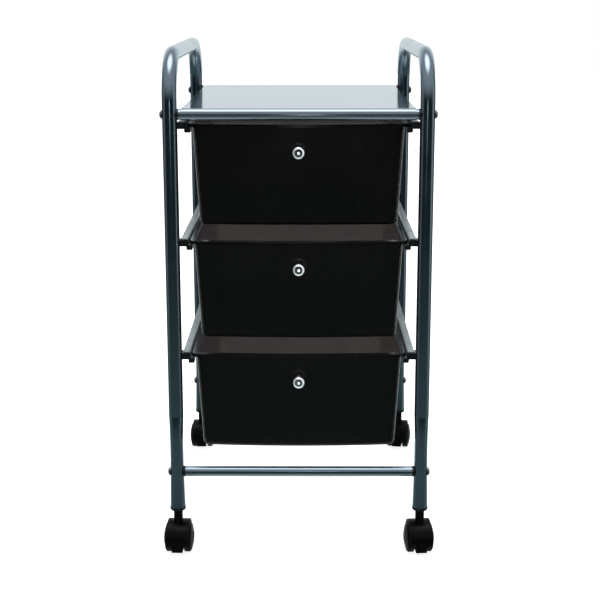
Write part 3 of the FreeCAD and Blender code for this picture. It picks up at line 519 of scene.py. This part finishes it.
def crossScrew(piece, node):
    low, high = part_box(node)
    crown = (0, high[1], (low[2] + high[2]) / 2)
    cutCross(piece, [(crown, "Y")], crossLooks["screwSlot"], crossLooks["screwDepth"])


# Wheels: two raised rings round the middle of each domed face

wheelLooks = {
    "reach": 0.0193,  # from the joint to the top of the dome
    "bulge": 0.0522,  # radius of the dome
    "rings": ((0.0045, 0.0002), (0.0085, 0.0003)),  # radius and thickness of each
    "ringSink": 0.3,  # of its thickness
    "ringSides": 12,
    "facets": 56,
}


def makeHubRings(caster, wheel):
    # The wheel's axis and middle come from its joint
    looks = wheelLooks
    body = caster + "_" + wheel
    joint = next(item for item in behaviour["joints"] if item["child"] == body)
    axis = Vector(joint["axis"]) * wheelSides[wheel]
    upright = Matrix.Rotation(math.pi / 2, 4, "X")
    work = bmesh.new()
    for radius, thickness in looks["rings"]:
        fall = looks["bulge"] - math.sqrt(looks["bulge"] ** 2 - radius ** 2)
        height = looks["reach"] - fall - looks["ringSink"] * thickness
        place = Matrix.Translation((radius, 0, height)) @ upright
        circle = bmesh.ops.create_circle(
            work, segments=looks["ringSides"], radius=thickness, matrix=place,
        )["verts"]
        edges = list({edge for vert in circle for edge in vert.link_edges})
        spinRound(work, circle, edges, looks["facets"])
    closeTurned(work)
    seat = Matrix.Translation(joint["pos_m"]) @ axis.to_track_quat("Z", "Y").to_matrix().to_4x4()
    bmesh.ops.transform(work, matrix=seat, verts=work.verts)
    addPiece(work, body + "_rings", body, "caster_plastic")


# Drawers: a moulded foot ring and two stiffening ribs under each floor

footLooks = {
    "middle": (0.0, -0.008),
    "size": (0.196, 0.262),
    "corner": 0.012,
    "cornerSteps": 8,
    "width": 0.0028,
    "proud": 0.0014,
    "sunk": 0.0004,
    "round": 0.0006,
    "roundSteps": 3,
    "ribs": (-0.075, 0.075),
    "ribHeight": 0.8,  # of the ring's height
    "floor": 0.130,    # from the runners' height down to the underside
    "lowest": 0.7,     # edges below this share of the height, with a corner
    "cornerAngle": 1,  # of more than this many radians, are rounded
}


def makeDrawerFoot(level):
    looks = footLooks
    (x, y), (width, depth) = looks["middle"], looks["size"]
    height = looks["proud"] + looks["sunk"]
    work = bmesh.new()
    outline = Matrix.Translation((x, y, 0)) @ Matrix.Diagonal((width, depth, 1, 1))
    bmesh.ops.create_grid(work, x_segments=1, y_segments=1, size=0.5, matrix=outline)
    bmesh.ops.bevel(
        work, geom=list(work.verts), offset=looks["corner"], segments=looks["cornerSteps"],
        affect="VERTICES", profile=0.5, material=-1,
    )
    inner = list(work.faces)
    bmesh.ops.inset_region(work, faces=inner, thickness=looks["width"], use_even_offset=True)
    bmesh.ops.delete(work, geom=inner, context="FACES_ONLY")
    wall = bmesh.ops.extrude_face_region(work, geom=list(work.faces))["geom"]
    lowered = [item for item in wall if isinstance(item, bmesh.types.BMVert)]
    bmesh.ops.translate(work, verts=lowered, vec=(0, 0, -height))
    ribSize = (width - looks["width"], looks["width"], looks["ribHeight"] * height)
    for ribY in looks["ribs"]:
        shape = Matrix.Translation((x, y + ribY, -height / 2)) @ Matrix.Diagonal((*ribSize, 1))
        bmesh.ops.create_cube(work, size=1, matrix=shape)
    bmesh.ops.recalc_face_normals(work, faces=work.faces)
    lowest = [
        edge for edge in work.edges
        if all(vert.co.z < -looks["lowest"] * height for vert in edge.verts)
        and edge.calc_face_angle(0) > looks["cornerAngle"]
    ]
    bmesh.ops.bevel(
        work, geom=lowest, offset=looks["round"], segments=looks["roundSteps"],
        affect="EDGES", profile=0.5, material=-1,
    )
    underside = levels[level] - looks["floor"] + looks["sunk"]
    bmesh.ops.translate(work, verts=work.verts, vec=(0, 0, underside))
    addPiece(work, level + "_drawer_foot", level + "_drawer", "drawer_plastic")


for name in frame["nodes"]:
    if name.endswith("_knob"):
        continue
    piece = smoothCopy(name)
    if name == "frame_bolts":
        crossBolts(piece)
    if name.endswith("_knob_screw"):
        crossScrew(piece, name)
for level in levels:
    makeKnob(level)
    makeDrawerFoot(level)
for caster in casters:
    for wheel in wheelSides:
        makeHubRings(caster, wheel)
meshCount = len([item for item in scene.objects if item.type == "MESH"])
print("finished copies and modelled pieces:", meshCount - len(frame["nodes"]))


# Floor, light and camera

white = (1.0, 1.0, 1.0, 1.0)
studio = {
    "floorRadius": 9.0,
    "floorSides": 96,
    "floorColour": (0.9, 0.9, 0.9, 1.0),
    "floorRoughness": 0.9,
    "floorSpecular": 0.1,
    "floorGlow": (0.88, 1.06),  # near the cart and far from it
    "floorFade": (0.4, 1.6),
    "roomColour": (0.006, 0.012, 0.016, 1.0),
}
# Each glow fills the directions past its edge on one axis, which run from -1 to 1
studioGlows = {
    "low": {
        "axis": "Z", "edge": (-0.14, -0.42), "strength": 1.0, "colour": (0.068, 0.100, 0.100, 1.0),
    },
    "left": {"axis": "X", "edge": (-0.9, -0.99), "strength": 0.16, "colour": white},
    "right": {"axis": "X", "edge": (0.9, 0.99), "strength": 0.32, "colour": white},
    "down": {"axis": "Z", "edge": (-0.75, -0.97), "strength": 0.42, "colour": white},
    "up": {"axis": "Z", "edge": (-0.06, 0.6), "strength": 0.36, "colour": (0.9, 0.95, 1.0, 1.0)},
    "backdrop": {
        "axis": "Y", "edge": (0.1, 0.75), "strength": 0.84, "colour": (0.92, 0.98, 1.0, 1.0),
        "within": {"X": (0.85, 0.4), "Z": (0.85, 0.25)},
    },
    "zenith": {
        "axis": "Z", "edge": (0.84, 0.99), "strength": 1.0, "colour": (2.2, 2.15, 2.2, 1.0),
    },
}


def makeFloor():
    mesh = bpy.data.meshes.new("studio_floor")
    work = bmesh.new()
    bmesh.ops.create_circle(
        work, cap_ends=True, segments=studio["floorSides"], radius=studio["floorRadius"],
    )
    work.to_mesh(mesh)
    work.free()
    floor = bpy.data.objects.new("studio_floor", mesh)
    scene.collection.objects.link(floor)
    material = bpy.data.materials.new("paleFloor")
    material.use_nodes = True
    tree = material.node_tree
    shader = tree.nodes["Principled BSDF"]
    shader.inputs["Base Color"].default_value = studio["floorColour"]
    shader.inputs["Roughness"].default_value = studio["floorRoughness"]
    shader.inputs["Specular IOR Level"].default_value = studio["floorSpecular"]
    shader.inputs["Emission Color"].default_value = white
    position = addNode(tree, "TexCoord").outputs["Object"]
    distance = addNode(tree, "VectorMath", {0: position}, operation="LENGTH").outputs["Value"]
    glow = rampBetween(tree, distance, studio["floorFade"], studio["floorGlow"])
    tree.links.new(glow, shader.inputs["Emission Strength"])
    mesh.materials.append(material)
    floor.visible_glossy = False


def rampBetween(tree, value, edges, heights):
    return addNode(tree, "MapRange", {
        "Value": value,
        "From Min": edges[0],
        "From Max": edges[1],
        "To Min": heights[0],
        "To Max": heights[1],
    }, interpolation_type="SMOOTHSTEP").outputs["Result"]


def makeSky():
    # The studio is dark on the camera's side, and pale behind the cart and above it. The camera
    # itself sees white all round
    world = bpy.data.worlds.new("dimStudio")
    scene.world = world
    world.use_nodes = True
    tree = world.node_tree
    direction = addNode(tree, "SeparateXYZ", {0: addNode(tree, "TexCoord").outputs["Generated"]})
    room = studio["roomColour"]
    for glow in studioGlows.values():
        along = direction.outputs[glow["axis"]]
        reach = rampBetween(tree, along, glow["edge"], (0.0, glow["strength"]))
        for axis, edge in glow.get("within", {}).items():
            away = addNode(tree, "Math", {0: direction.outputs[axis]}, operation="ABSOLUTE")
            inside = rampBetween(tree, away.outputs[0], edge, (0.0, 1.0))
            reach = addNode(tree, "Math", {0: reach, 1: inside}, operation="MULTIPLY").outputs[0]
        room = mixColours(tree, reach, room, glow["colour"])
    seen = addNode(tree, "LightPath").outputs["Is Camera Ray"]
    surround = mixColours(tree, seen, room, white)
    tree.links.new(surround, tree.nodes["Background"].inputs["Color"])


# The cards and sparks light the polished knobs alone, which mirror them as a pale ring and a spot
softboxes = {
    "overhead": {
        "size": (1.4, 1.0), "power": 20, "place": (0, 0.75, 2.6), "aim": (0, 0.1, 0.3),
        "mirrored": False,
    },
    "flash": {
        "size": (0.07, 0.07), "power": 0.1, "place": (0.01, -1.7, 0.46), "aim": (0, 0, 0.5),
    },
    "topSpark": {
        "size": (0.017, 0.017), "power": 0.022, "place": (0.001, -0.5, 0.453),
        "aim": (0, -0.2, 0.524), "only": "_polished",
    },
    "middleSpark": {
        "size": (0.017, 0.017), "power": 0.022, "place": (0.001, -0.5, 0.277),
        "aim": (0, -0.2, 0.379), "only": "_polished",
    },
    "bottomSpark": {
        "size": (0.017, 0.017), "power": 0.022, "place": (0.001, -0.5, 0.100),
        "aim": (0, -0.2, 0.234), "only": "_polished",
    },
    "leftCard": {
        "size": (1.2, 1.6), "power": 2.6, "place": (-0.75, -0.75, 0.4),
        "aim": (0, -0.2, 0.4), "only": "_polished",
    },
    "rightCard": {
        "size": (1.2, 1.6), "power": 5.4, "place": (0.75, -0.75, 0.4),
        "aim": (0, -0.2, 0.4), "only": "_polished",
    },
    "lowCard": {
        "size": (1.6, 0.9), "power": 4.9, "place": (0, -0.5, -0.5),
        "aim": (0, -0.2, 0.4), "only": "_polished",
    },
    "highCard": {
        "size": (1.6, 0.8), "power": 4.8, "place": (0, -0.7, 1.3),
        "aim": (0, -0.2, 0.4), "only": "_polished",
    },
}


def makeSoftbox(name, look):
    light = bpy.data.lights.new(name, "AREA")
    light.shape = "RECTANGLE"
    light.size, light.size_y = look["size"]
    light.energy = look["power"]
    holder = bpy.data.objects.new(name, light)
    holder.location = look["place"]
    towards = Vector(look["aim"]) - Vector(look["place"])
    holder.rotation_euler = towards.to_track_quat("-Z", "Y").to_euler()
    holder.visible_camera = False
    holder.visible_glossy = look.get("mirrored", True)
    scene.collection.objects.link(holder)
    if "only" in look:
        lit = bpy.data.collections.new(name + "_lit")
        for item in list(scene.objects):
            if item.name.endswith(look["only"]):
                lit.objects.link(item)
        holder.light_linking.receiver_collection = lit


cameraLooks = {
    "lens": 72.91,     # millimetres
    "sensor": 36,
    "place": (0.008, -1.656, 0.7164),
    "pitch": -0.2032,  # radians
    "yaw": -0.0043,
    "roll": -0.0008,
    "shift": -0.1,
    "farthest": 60,
}


def makeCamera():
    camera = bpy.data.cameras.new("photoCamera")
    camera.sensor_width = cameraLooks["sensor"]
    camera.lens = cameraLooks["lens"]
    camera.shift_y = cameraLooks["shift"]
    camera.clip_end = cameraLooks["farthest"]
    holder = bpy.data.objects.new("photoCamera", camera)
    turn = Matrix.Rotation(-cameraLooks["yaw"], 4, "Z")
    turn = turn @ Matrix.Rotation(math.pi / 2 + cameraLooks["pitch"], 4, "X")
    turn = turn @ Matrix.Rotation(cameraLooks["roll"], 4, "Z")
    holder.matrix_world = Matrix.Translation(cameraLooks["place"]) @ turn
    scene.collection.objects.link(holder)
    scene.camera = holder


makeFloor()
makeSky()
for name, look in softboxes.items():
    makeSoftbox(name, look)
makeCamera()
scene.view_settings.view_transform = "Standard"
print("studio ready")
